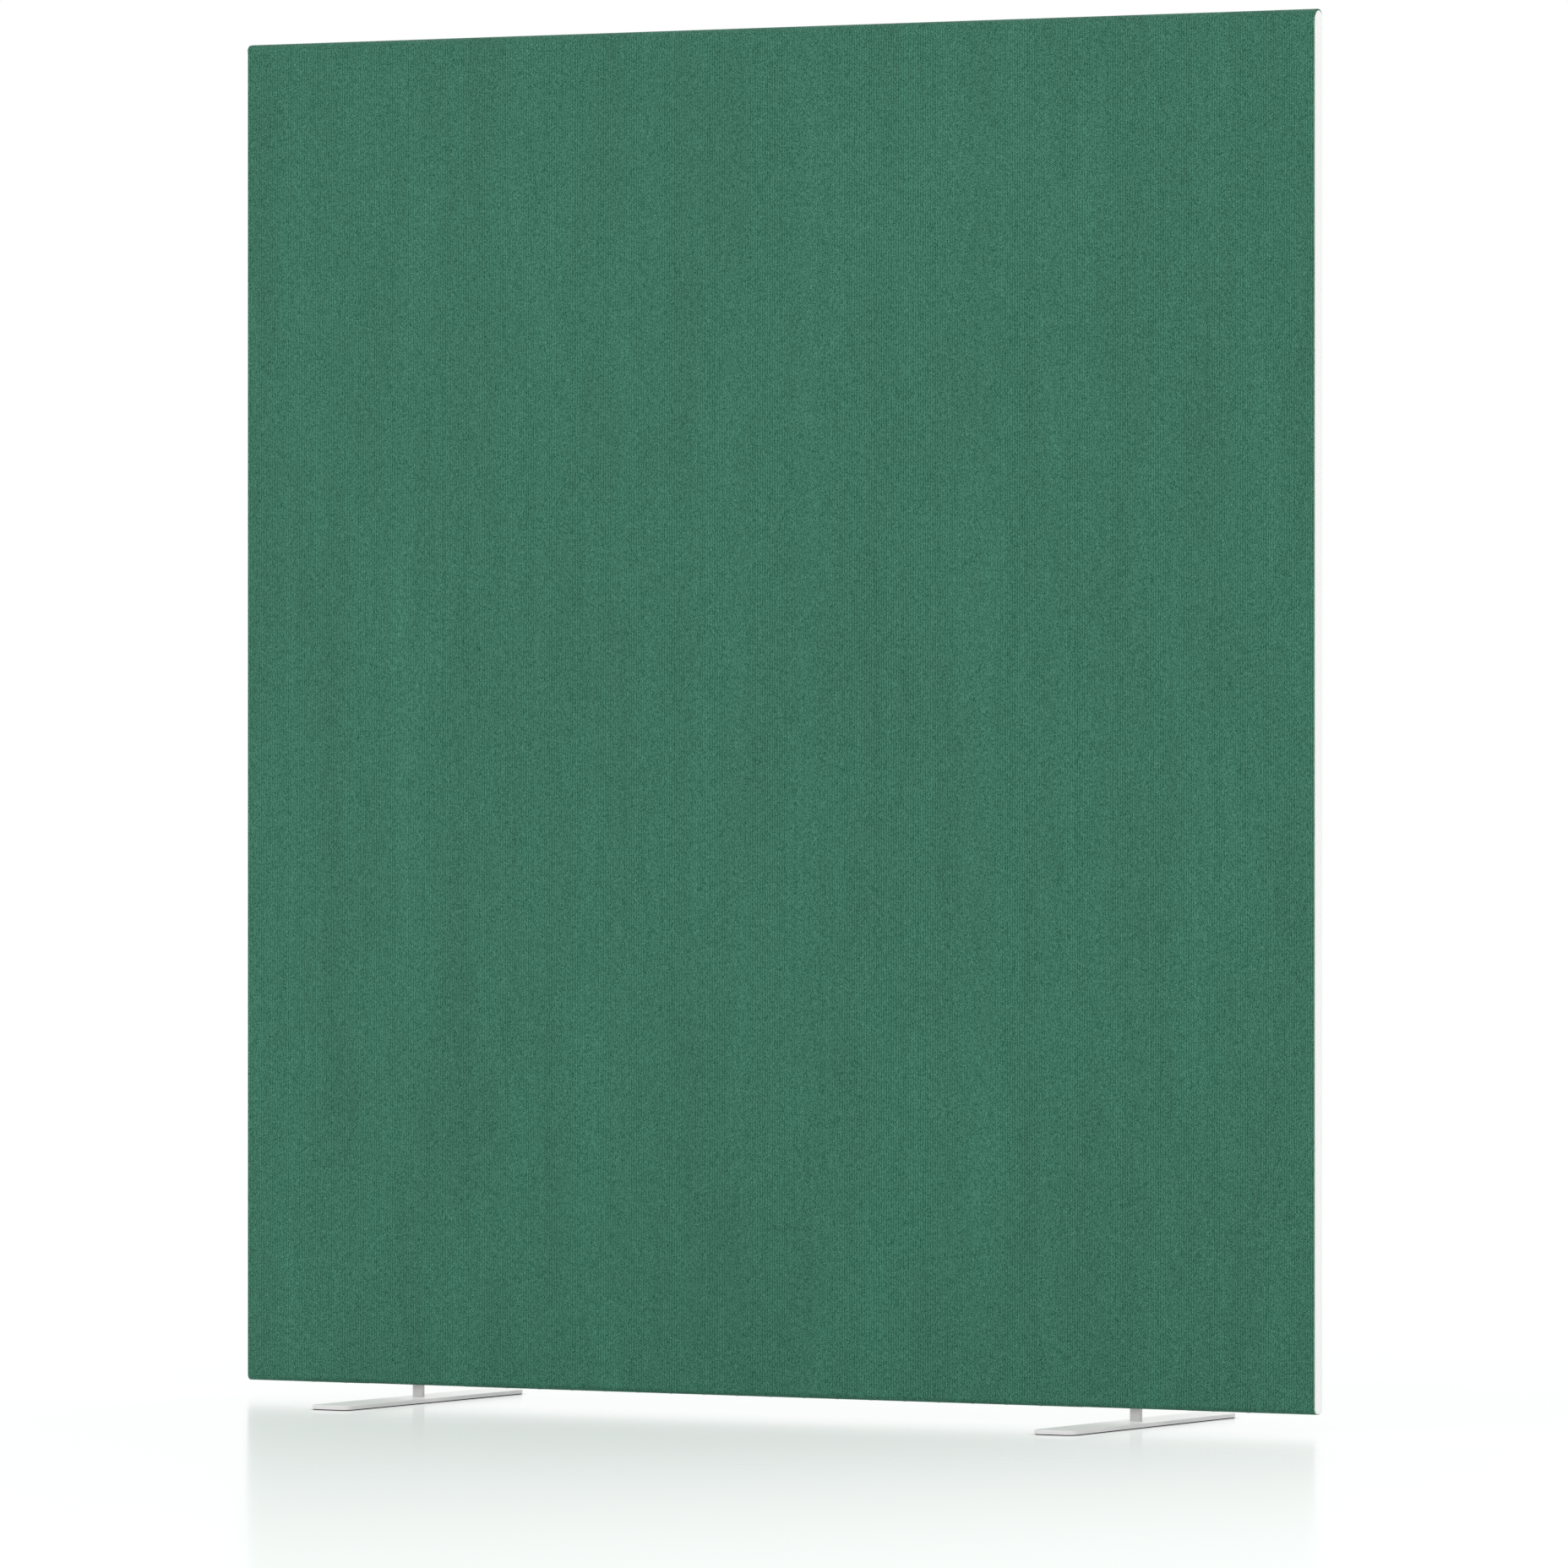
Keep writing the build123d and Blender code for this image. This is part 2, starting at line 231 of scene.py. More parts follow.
def ribbed_polyester(cloth, ridge):
    """Mottled green polyester, woven in fine upright ribs.

    The eye sees fine upright stripes, partly from the ribs' own shape and partly painted shade
    in their grooves, a salt-and-pepper mottle of single stitches, and long soft streaks where
    the yarn takes the dye a little lighter. Between the two heights of ridge, over the panel's
    round top, the colour is painted darker: painted shade against the light that the top gets
    from above.
    """
    # Sizes along X, Y and Z: of a stitch, of a fibre in it, of a patch of clearer ribs, of a run
    # of like yarns and of a streak
    stitch = (0.35 * MM, 0.85 * MM, 0.85 * MM)
    fibre = (0.2 * MM, 0.4 * MM, 0.4 * MM)
    patch = (10 * MM, 15 * MM, 15 * MM)
    yarn = (4 * MM, 1500 * MM, 1500 * MM)
    streak = (100 * MM, 600 * MM, 600 * MM)
    material, tree = new_material("ribbed polyester, woven")

    # Painted shade in the grooves, over the shade that the ribs' own shape gives: lighter on the
    # ribs and darker in the grooves, by the cosine of a full turn for each rib, times twice a noise
    # about a half, since the ribs stand clearer in some patches than in others
    place = node(tree, "ShaderNodeTexCoord").outputs["Object"]
    along = node(tree, "ShaderNodeSeparateXYZ", {"Vector": place}).outputs
    turn = 2 * math.pi / cloth.rib_pitch
    across = node(tree, "ShaderNodeMath", {0: along["X"], 1: turn}, operation="MULTIPLY").outputs[0]
    ribs = node(tree, "ShaderNodeMath", {0: across}, operation="COSINE").outputs[0]
    clear = node(
        tree, "ShaderNodeTexNoise",
        {"Vector": pattern_place(tree, patch), "Scale": 1.0, "Detail": 2.0},
    ).outputs["Fac"]
    clear = node(tree, "ShaderNodeMath", {0: clear, 1: 2.0}, operation="MULTIPLY").outputs[0]
    ribs = node(tree, "ShaderNodeMath", {0: ribs, 1: clear}, operation="MULTIPLY").outputs[0]

    # Stitches as long as a rib is wide, half a stitch higher on every second rib: the cosine of
    # half a turn for each rib, times the cosine of a full turn for each stitch
    sides = node(
        tree, "ShaderNodeMath", {0: along["X"], 1: turn / 2}, operation="MULTIPLY",
    ).outputs[0]
    sides = node(tree, "ShaderNodeMath", {0: sides}, operation="COSINE").outputs[0]
    rows = node(tree, "ShaderNodeMath", {0: along["Z"], 1: turn}, operation="MULTIPLY").outputs[0]
    rows = node(tree, "ShaderNodeMath", {0: rows}, operation="COSINE").outputs[0]
    stagger = node(tree, "ShaderNodeMath", {0: sides, 1: rows}, operation="MULTIPLY").outputs[0]

    stitches = node(
        tree, "ShaderNodeTexVoronoi",
        {"Vector": pattern_place(tree, stitch), "Scale": 1.0, "Randomness": 0.8},
    ).outputs
    shade = node(tree, "ShaderNodeSeparateColor", {"Color": stitches["Color"]}).outputs["Red"]
    fibres = node(
        tree, "ShaderNodeTexNoise",
        {"Vector": pattern_place(tree, fibre), "Scale": 1.0, "Detail": 2.0},
    ).outputs["Fac"]
    yarns = node(
        tree, "ShaderNodeTexNoise",
        {"Vector": pattern_place(tree, yarn), "Scale": 1.0, "Detail": 1.0},
    ).outputs["Fac"]
    streaks = node(
        tree, "ShaderNodeTexNoise",
        {"Vector": pattern_place(tree, streak), "Scale": 1.0, "Detail": 4.0, "Roughness": 0.78},
    ).outputs["Fac"]

    # The mottle is the share of light yarn, where the ribs' part is painted shade in the grooves.
    # It starts below nought, and each pattern adds its weight times its own value.
    mottle = -0.92
    weights = ((shade, 2.3), (ribs, 0.52), (stagger, 0.45), (yarns, 0.26))
    for pattern, weight in weights:
        mottle = node(
            tree, "ShaderNodeMath", {0: pattern, 1: weight, 2: mottle}, operation="MULTIPLY_ADD",
        ).outputs[0]
    colour = node(
        tree, "ShaderNodeMix",
        {"Factor": mottle, MIX_A: (*cloth.dark_yarn, 1), MIX_B: (*cloth.light_yarn, 1)},
        data_type="RGBA",
    ).outputs[MIX_RESULT]

    # Shares of the colour's red, green and blue that are left in the darkest and the lightest
    # streaks, and the share of all three that is left at the ridge by the painted shade over the
    # round top
    dark_streak_shares = (0.82, 0.77, 0.74)
    light_streak_shares = (1.18, 1.23, 1.26)
    painted_shade_ridge_share = 0.59
    dye = node(
        tree, "ShaderNodeMix",
        {"Factor": streaks, MIX_A: (*dark_streak_shares, 1), MIX_B: (*light_streak_shares, 1)},
        data_type="RGBA", clamp_result=False,
    ).outputs[MIX_RESULT]
    colour = node(
        tree, "ShaderNodeMix", {"Factor": 1.0, MIX_A: colour, MIX_B: dye},
        data_type="RGBA", blend_type="MULTIPLY",
    ).outputs[MIX_RESULT]
    # Painted shade over the round top: from the lower height of ridge up to the ridge the colour
    # falls to the share left at the ridge
    ridge_low, ridge_high = ridge
    painted_top_shade = node(
        tree, "ShaderNodeMapRange",
        {
            "Value": along["Z"], "From Min": ridge_low, "From Max": ridge_high,
            "To Min": 1.0, "To Max": painted_shade_ridge_share,
        },
    ).outputs["Result"]
    colour = node(
        tree, "ShaderNodeVectorMath", {0: colour, "Scale": painted_top_shade}, operation="SCALE",
    ).outputs["Vector"]

    # Each stitch stands a little proud of the gaps round it
    relief = node(
        tree, "ShaderNodeMath", {0: fibres, 1: stitches["Distance"]}, operation="SUBTRACT",
    ).outputs[0]
    normal = node(
        tree, "ShaderNodeBump", {"Height": relief, "Strength": 0.5, "Distance": 0.1 * MM},
    ).outputs["Normal"]
    close_material(
        tree, colour, roughness=0.92, normal=normal,
        Specular_IOR_Level=0.25, Sheen_Weight=0.08, Sheen_Roughness=0.4,
    )
    return material


def needled_felt():
    """Pale grey polyester felt, needled: short fibres that lie every way, and no gloss."""
    material, tree = new_material("polyester felt, needled")
    place = pattern_place(tree, (0.5 * MM, 0.5 * MM, 0.5 * MM))
    fibres = node(
        tree, "ShaderNodeTexNoise",
        {"Vector": place, "Scale": 1.0, "Detail": 6.0, "Roughness": 0.7, "Distortion": 1.5},
    ).outputs["Fac"]
    colour = node(
        tree, "ShaderNodeMix",
        {"Factor": fibres, MIX_A: (*linear("#a9a9a4"), 1), MIX_B: (*linear("#dcdcd8"), 1)},
        data_type="RGBA",
    ).outputs[MIX_RESULT]
    normal = node(
        tree, "ShaderNodeBump", {"Height": fibres, "Strength": 0.6, "Distance": 0.3 * MM},
    ).outputs["Normal"]
    close_material(
        tree, colour, roughness=0.95, normal=normal, Specular_IOR_Level=0.2, Sheen_Weight=0.2,
    )
    return material


def textile_board():
    """Sound board of pressed textile scraps: small flecks of grey, blue and rust in a grey mat."""
    material, tree = new_material("textile fibre board, pressed")
    place = pattern_place(tree, (4 * MM, 1.2 * MM, 4 * MM))
    flecks = node(tree, "ShaderNodeTexVoronoi", {"Vector": place, "Scale": 1.0})
    fleck = node(
        tree, "ShaderNodeHueSaturation",
        {"Color": flecks.outputs["Color"], "Saturation": 0.25, "Value": 0.5},
    ).outputs["Color"]
    mat = node(
        tree, "ShaderNodeTexNoise",
        {"Vector": pattern_place(tree, (0.8 * MM, 0.8 * MM, 0.8 * MM)), "Scale": 1.0, "Detail": 4.0},
    ).outputs["Fac"]
    colour = node(
        tree, "ShaderNodeMix", {"Factor": mat, MIX_A: (*linear("#6a6d72"), 1), MIX_B: fleck},
        data_type="RGBA",
    ).outputs[MIX_RESULT]
    normal = node(
        tree, "ShaderNodeBump", {"Height": mat, "Strength": 0.7, "Distance": 0.4 * MM},
    ).outputs["Normal"]
    close_material(tree, colour, roughness=0.95, normal=normal, Specular_IOR_Level=0.2)
    return material


def planed_wood(name, pale, dark, rings, fleck):
    """Planed wood: soft stripes along the grain, with fine short lines in them.

    rings is the size of a patch of growth rings and fleck that of the pores, each longest along
    the grain. The stripes are the fractional part of a noise times ring_count, times the pores.
    """
    ring_count = 7.0
    material, tree = new_material(name)
    growth = node(
        tree, "ShaderNodeTexNoise",
        {"Vector": pattern_place(tree, rings), "Scale": 1.0, "Detail": 2.0, "Distortion": 0.6},
    ).outputs["Fac"]
    bands = node(
        tree, "ShaderNodeMath", {0: growth, 1: ring_count}, operation="MULTIPLY",
    ).outputs[0]
    bands = node(tree, "ShaderNodeMath", {0: bands}, operation="FRACT").outputs[0]
    pores = node(
        tree, "ShaderNodeTexNoise",
        {"Vector": pattern_place(tree, fleck), "Scale": 1.0, "Detail": 3.0},
    ).outputs["Fac"]
    stripe = node(tree, "ShaderNodeMath", {0: bands, 1: pores}, operation="MULTIPLY").outputs[0]
    colour = node(
        tree, "ShaderNodeMix",
        {"Factor": stripe, MIX_A: (*linear(pale), 1), MIX_B: (*linear(dark), 1)},
        data_type="RGBA",
    ).outputs[MIX_RESULT]
    normal = node(
        tree, "ShaderNodeBump", {"Height": pores, "Strength": 0.3, "Distance": 0.1 * MM},
    ).outputs["Normal"]
    close_material(tree, colour, roughness=0.62, normal=normal)
    return material


def extruded_abs(colour):
    """White ABS edging, extruded: satin, with faint drawn lines along its length."""
    material, tree = new_material("white ABS, extruded")
    lines = node(
        tree, "ShaderNodeTexNoise",
        {"Vector": pattern_place(tree, (0.6 * MM, 0.6 * MM, 400 * MM)), "Scale": 1.0, "Detail": 3.0},
    ).outputs["Fac"]
    shade = toned(tree, colour, lines, low=0.98, high=1.02)
    roughness = node(
        tree, "ShaderNodeMapRange", {"Value": lines, "To Min": 0.32, "To Max": 0.48},
    ).outputs["Result"]
    normal = node(
        tree, "ShaderNodeBump", {"Height": lines, "Strength": 0.15, "Distance": 0.02 * MM},
    ).outputs["Normal"]
    close_material(tree, shade, roughness, normal)
    return material


def powder_coat(name, colour):
    """Grey powder coat, baked: satin, with fine grit and the shallow dimples of orange peel."""
    material, tree = new_material(name)
    peel = node(
        tree, "ShaderNodeTexNoise",
        {"Vector": pattern_place(tree, (0.9 * MM, 0.9 * MM, 0.9 * MM)), "Scale": 1.0, "Detail": 1.0},
    ).outputs["Fac"]
    grit = node(
        tree, "ShaderNodeTexNoise",
        {"Vector": pattern_place(tree, (0.2 * MM, 0.2 * MM, 0.2 * MM)), "Scale": 1.0, "Detail": 2.0},
    ).outputs["Fac"]
    shade = toned(tree, colour, grit, low=0.97, high=1.03)
    roughness = node(
        tree, "ShaderNodeMapRange", {"Value": grit, "To Min": 0.28, "To Max": 0.38},
    ).outputs["Result"]
    normal = node(
        tree, "ShaderNodeBump", {"Height": peel, "Strength": 0.2, "Distance": 0.05 * MM},
    ).outputs["Normal"]
    close_material(tree, shade, roughness, normal, Specular_IOR_Level=0.4)
    return material


def sheet_rubber(colour):
    """Thin dark rubber, calendered: nearly black and matt, with a dusty bloom."""
    material, tree = new_material("rubber sheet, calendered")
    bloom = node(
        tree, "ShaderNodeTexNoise",
        {"Vector": pattern_place(tree, (6 * MM, 6 * MM, 6 * MM)), "Scale": 1.0, "Detail": 5.0},
    ).outputs["Fac"]
    shade = toned(tree, colour, bloom, low=0.75, high=1.25)
    normal = node(
        tree, "ShaderNodeBump", {"Height": bloom, "Strength": 0.2, "Distance": 0.05 * MM},
    ).outputs["Normal"]
    close_material(tree, shade, roughness=0.85, normal=normal)
    return material


def worked_metal(name, colour, roughness, grain):
    """Bare or plated metal: its tool marks, each of the size grain, catch the light as fine lines
    that are glossier or duller than the rest by roughness_swing."""
    roughness_swing = 0.1
    material, tree = new_material(name)
    marks = node(
        tree, "ShaderNodeTexNoise",
        {"Vector": pattern_place(tree, grain), "Scale": 1.0, "Detail": 3.0},
    ).outputs["Fac"]
    shade = toned(tree, linear(colour), marks, low=0.9, high=1.1)
    glossiest, dullest = roughness - roughness_swing, roughness + roughness_swing
    uneven = node(
        tree, "ShaderNodeMapRange", {"Value": marks, "To Min": glossiest, "To Max": dullest},
    ).outputs["Result"]
    normal = node(
        tree, "ShaderNodeBump", {"Height": marks, "Strength": 0.2, "Distance": 0.02 * MM},
    ).outputs["Normal"]
    close_material(tree, shade, uneven, normal, Metallic=1.0)
    return material


def dress(names, material):
    """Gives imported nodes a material."""
    for name in names:
        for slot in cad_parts[name].material_slots:
            slot.material = material


def surface_piece(name, points, faces, material, thickness):
    """A sheet with its outer face on points, thickened inwards, and shaded by its larger faces."""
    mesh = bpy.data.meshes.new(name)
    mesh.from_pydata(points.tolist(), [], faces.tolist())
    mesh.polygons.foreach_set("use_smooth", np.ones(len(faces), bool))
    mesh.materials.append(material)
    mesh.update()
    piece = bpy.data.objects.new(name, mesh)
    bpy.context.scene.collection.objects.link(piece)
    wall = piece.modifiers.new("thickness", "SOLIDIFY")
    wall.thickness = thickness
    wall.offset = -1
    piece.modifiers.new("shading", "WEIGHTED_NORMAL")
    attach(piece, BODY)
    return piece


def grid_faces(rows, columns, keep=None):
    """Corner numbers of the quads of a grid, without those that keep leaves out.

    Points count along the rows, so a quad's corners are a point, the next one, and the same two
    one row on, which is a row's length further.
    """
    corner = np.arange((rows - 1) * columns).reshape(rows - 1, columns)[:, :-1]
    faces = np.stack([corner, corner + 1, corner + columns + 1, corner + columns], axis=-1)
    return faces[keep] if keep is not None else faces.reshape(-1, 4)


def used_only(points, faces):
    """Leaves out the points that no face uses, and numbers the faces' corners again."""
    used, corners = np.unique(faces, return_inverse=True)
    return points[used], corners.reshape(faces.shape)


def cloth_rows(half, low, high, window_half):
    """Section across the panel, from the seam underneath, up the front and down the back.

    half is half the panel's thickness, low and high are its lower edge and its ridge, and
    window_half is half the width of the openings for the mounting plates. Each row is an angle
    on an arc, so its point is the arc's centre plus the radius times (cos angle, sin angle) in
    Y and Z. The rows are the seam's edge, a quarter turn at the lower corner, a half turn over
    the top, and the corner and the seam's other edge behind. One row of each corner lies on
    the openings' edge.
    """
    flat = half - CORNER_RADIUS
    quarter = math.pi / 2
    window_turn = math.asin((window_half - flat) / CORNER_RADIUS)
    turns = np.concatenate([[0], np.linspace(window_turn, quarter, CORNER_STEPS + 1)])
    top = np.linspace(math.pi, 0, TOP_STEPS + 1)
    angles = np.concatenate([[-quarter], -quarter - turns, top, turns[::-1] - quarter, [-quarter]])
    corner_y = np.full(len(turns), flat)
    centre_y = np.concatenate([[-SEAM_GAP / 2], -corner_y, 0 * top, corner_y, [SEAM_GAP / 2]])
    below = len(turns) + 1
    corner_z = np.full(below, low + CORNER_RADIUS)
    centre_z = np.concatenate([corner_z, 0 * top + high - half, corner_z])
    corner_radius = np.full(below, CORNER_RADIUS)
    radii = np.concatenate([corner_radius, 0 * top + half, corner_radius])
    return angles, centre_y, centre_z, radii


def cloth_columns(end, pitch, depth, fold_out, fold_depth):
    """Places along the panel and how far each lies inside the section's outline, row by row.

    end is half the panel's length, and pitch and depth are a rib's. From each end: the
    turned-in edge, the fold and the ribs. The fold is two quarter ellipses, one out of the
    panel's end by the row's fold_out and one round on to the face. A rib has its groove at
    share 0 of the pitch and its shoulders at 0.3 and 0.7. Their count is odd, so that one rib
    runs down the middle.
    """
    rows = np.zeros((len(fold_out), 1))
    rib_shares = np.array([0, 0.3, 0.7])
    ribs = 2 * int((end - FOLD_ROLL) / pitch - 0.5) + 1
    rib, step = np.divmod(np.arange(len(rib_shares) * ribs + 1), len(rib_shares))
    rib_x = rows + (rib + rib_shares[step] - ribs / 2) * pitch
    rib_inset = rows + np.where(step == 0, depth, 0)
    turn = np.linspace(-math.pi / 2, math.pi / 2, FOLD_STEPS + 1)
    reach = fold_out[:, None] * np.cos(turn) - FOLD_ROLL * (1 - np.cos(turn)) * (turn > 0)
    fold_x = np.concatenate([rows - end, -end - reach], axis=1)
    roll_inset = fold_depth[:, None] * (1 - np.sin(turn)) / 2
    fold_inset = np.concatenate([rows + TURN_IN, roll_inset], axis=1)
    x = np.concatenate([fold_x, rib_x, -fold_x[:, ::-1]], axis=1)
    inset = np.concatenate([fold_inset, rib_inset, fold_inset[:, ::-1]], axis=1)
    return x, inset


class CoverWithCloth(bpy.types.Operator):
    """Wraps the panel in one sheet of ribbed cloth, turned in at both ends"""

    bl_idname = "floor_screen.cover_with_cloth"
    bl_label = "Cover With Cloth"

    def execute(self, context):
        cloth = context.scene.screen_cloth
        low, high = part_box("fabric_cover")
        plate_low, plate_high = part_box("right_mounting_plate")
        window_half = plate_high.y + WINDOW_EASE
        window_centre = (plate_low.x + plate_high.x) / 2
        window_reach = (plate_high.x - plate_low.x) / 2 + WINDOW_EASE
        angles, centre_y, centre_z, radii = cloth_rows(high.y, low.z, high.z, window_half)

        # The fold stands out with the root of the share of a row that faces up, and its depth
        # falls with a high power of the share that faces down
        fold_out = FOLD_OUT * np.sqrt(np.maximum(np.sin(angles), 0))
        down = np.maximum(-np.sin(angles), 0) ** FOLD_POWER_BELOW
        fold_depth = FOLD_DEPTH - (FOLD_DEPTH - FOLD_DEPTH_BELOW) * down
        x, inset = cloth_columns(high.x, cloth.rib_pitch, cloth.rib_depth, fold_out, fold_depth)

        # A turned-in edge stops short of the corner arcs' centres, where it would cross itself
        inset = np.minimum(inset, radii[:, None] - cloth.thickness / 2)
        reach = radii[:, None] - inset
        y = centre_y[:, None] + reach * np.cos(angles)[:, None]
        z = centre_z[:, None] + reach * np.sin(angles)[:, None]
        points = np.stack([x, y, z], axis=-1).reshape(-1, 3)

        # The faces between the seam and the openings' edge, which are the first and the last two
        # rows of faces, are left out below both mounting plates
        middle = (x[0, 1:] + x[0, :-1]) / 2
        over_plate = abs(abs(middle) - window_centre) < window_reach
        under = np.zeros(len(angles) - 1, bool)
        under[[0, 1, -2, -1]] = True
        faces = grid_faces(*x.shape, ~(under[:, None] & over_plate))
        points, faces = used_only(points, faces)
        material = ribbed_polyester(cloth, ridge=(high.z - high.y, high.z))
        piece = surface_piece("ribbed_cloth", points, faces, material, cloth.thickness)
        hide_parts("fabric_cover")

        return {"FINISHED"}


class LineWithFelt(bpy.types.Operator):
    """Lays a sheet of thin felt over each face of the frame, up to the ridge of the top edge"""

    bl_idname = "floor_screen.line_with_felt"
    bl_label = "Line With Felt"

    def execute(self, context):
        material = needled_felt()
        for name, side in (("front_felt", -1), ("back_felt", 1)):
            low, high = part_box(name)
            half = high.y - low.y
            straight = high.z - half - low.z
            length = straight + math.pi * half / 2

            # Up the face and a quarter turn over the top: past the straight, the angle is the
            # length that is left divided by the radius
            along = np.linspace(0, length, FELT_ROWS)[:, None]
            angle = np.maximum(along - straight, 0) / half
            x = np.linspace(low.x, high.x, FELT_COLUMNS)[None, :]
            y = side * half * np.cos(angle) + 0 * x
            z = low.z + np.minimum(along, straight) + half * np.sin(angle) + 0 * x
            points = np.stack([x + 0 * y, y, z], axis=-1).reshape(-1, 3)

            # The back's quads run the other way round, so that both sheets face outwards
            faces = grid_faces(FELT_ROWS, FELT_COLUMNS)[:, ::-side]
            piece = surface_piece(name + "_sheet", points, faces, material, FELT_THICKNESS)
            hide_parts(name)
        return {"FINISHED"}


class FinishFrame(bpy.types.Operator):
    """Gives the wooden frame, its dowels and the boards in its bays their materials"""

    bl_idname = "floor_screen.finish_frame"
    bl_label = "Finish Frame"

    def execute(self, context):
        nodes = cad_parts
        spruce = {"pale": "#d9b98a", "dark": "#a87b47"}
        lying = planed_wood(
            "spruce, planed, grain along X", **spruce,
            rings=(400 * MM, 9 * MM, 9 * MM), fleck=(12 * MM, 0.4 * MM, 0.4 * MM),
        )
        standing = planed_wood(
            "spruce, planed, grain along Z", **spruce,
            rings=(9 * MM, 9 * MM, 400 * MM), fleck=(0.4 * MM, 0.4 * MM, 12 * MM),
        )
        beech = planed_wood(
            "beech, turned", pale="#d2a679", dark="#a8764a",
            rings=(3 * MM, 3 * MM, 3 * MM), fleck=(0.3 * MM, 0.3 * MM, 1.5 * MM),
        )
        dress([name for name in nodes if name.endswith("_rail")], lying)
        dress([name for name in nodes if name.endswith(("_stile", "_mullion"))], standing)
        dress([name for name in nodes if name.endswith("_core")], textile_board())
        dress(["frame_dowels"], beech)
        return {"FINISHED"}


class FinishEdging(bpy.types.Operator):
    """Gives the edging strips at both ends their white plastic"""

    bl_idname = "floor_screen.finish_edging"
    bl_label = "Finish Edging"

    def execute(self, context):
        material = extruded_abs(context.scene.screen_finishes.edging)
        dress(["left_end_strip", "right_end_strip"], material)
        return {"FINISHED"}


class FinishFeet(bpy.types.Operator):
    """Gives the feet their powder coat and rubber pads, and the fixings their metals"""

    bl_idname = "floor_screen.finish_feet"
    bl_label = "Finish Feet"

    def execute(self, context):
        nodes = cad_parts
        finishes = context.scene.screen_finishes
        plates = powder_coat("steel, powder-coated, light", finishes.feet)
        # The uprights get the feet's powder coat in a darker grey, painted shade for the shade under
        # the panel
        uprights = powder_coat("steel, powder-coated, darkened by painted shade", finishes.uprights)
        dress([name for name in nodes if name.endswith("_foot_plate")], plates)
        dress([name for name in nodes if name.endswith(("_upright", "_mounting_plate"))], uprights)
        dress([name for name in nodes if name.endswith("_floor_pad")], sheet_rubber(finishes.pads))
        zinc = worked_metal(
            "steel, zinc-plated", "#c9ccd0", roughness=0.32, grain=(0.3 * MM, 0.3 * MM, 3 * MM),
        )
        brass = worked_metal(
            "brass, turned", "#d8b25a", roughness=0.3, grain=(2 * MM, 2 * MM, 0.15 * MM),
        )
        wire = worked_metal(
            "steel wire, galvanised", "#c4c6c8", roughness=0.4, grain=(0.3 * MM, 2 * MM, 0.3 * MM),
        )
        dress(["foot_screws"], zinc)
        dress(["threaded_inserts"], brass)
        dress(["fabric_staples"], wire)
        return {"FINISHED"}


def mirror_rays(tree):
    """1 for rays from the camera, a mirror or glass, and 0 for rays that gather light."""
    path = node(tree, "ShaderNodeLightPath").outputs
    seen = node(
        tree, "ShaderNodeMath", {0: path["Is Camera Ray"], 1: path["Is Glossy Ray"]},
        operation="MAXIMUM",
    ).outputs[0]
    return node(
        tree, "ShaderNodeMath", {0: seen, 1: path["Is Transmission Ray"]}, operation="MAXIMUM",
    ).outputs[0]


